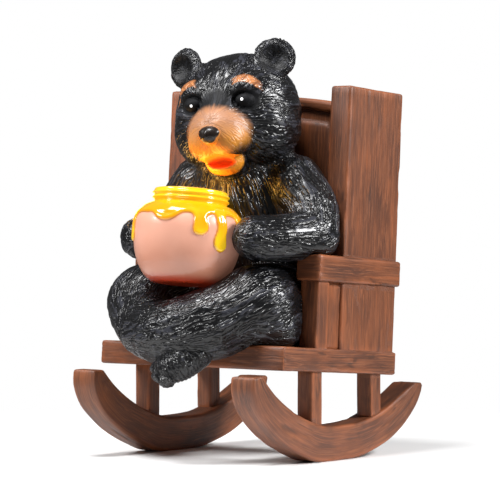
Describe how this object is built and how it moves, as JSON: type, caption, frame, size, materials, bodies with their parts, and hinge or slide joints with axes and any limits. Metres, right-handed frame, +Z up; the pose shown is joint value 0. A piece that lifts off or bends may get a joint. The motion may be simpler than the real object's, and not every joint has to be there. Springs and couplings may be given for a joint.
{
  "type": "solar garden statue",
  "caption": "Painted resin bear sitting in a rocking chair and hugging a glowing honey jar, a solar garden statue that stands on its rockers.",
  "frame": {"origin": "middle of the bounding box at the ground, z = 0 under the rockers", "axes": "+Z up, -Y the way the chair faces, +X the bear's left side"},
  "size_m": [0.1394, 0.1767, 0.2444],
  "materials": {
    "black_fur": "carved fur in glossy black paint over resin, tan muzzle and brows",
    "carved_wood": "resin carved and stained like brown wood, satin, lighter on worn edges",
    "honey_glow": "translucent pinkish resin under glossy yellow honey, lit from inside",
    "solar_cell": "dark blue cell under a clear cover"
  },
  "bodies": {
    "root": {"bear": "black_fur", "rocking_chair": "carved_wood", "honey_jar": "honey_glow", "solar_panel": "solar_cell"}
  },
  "joints": []
}
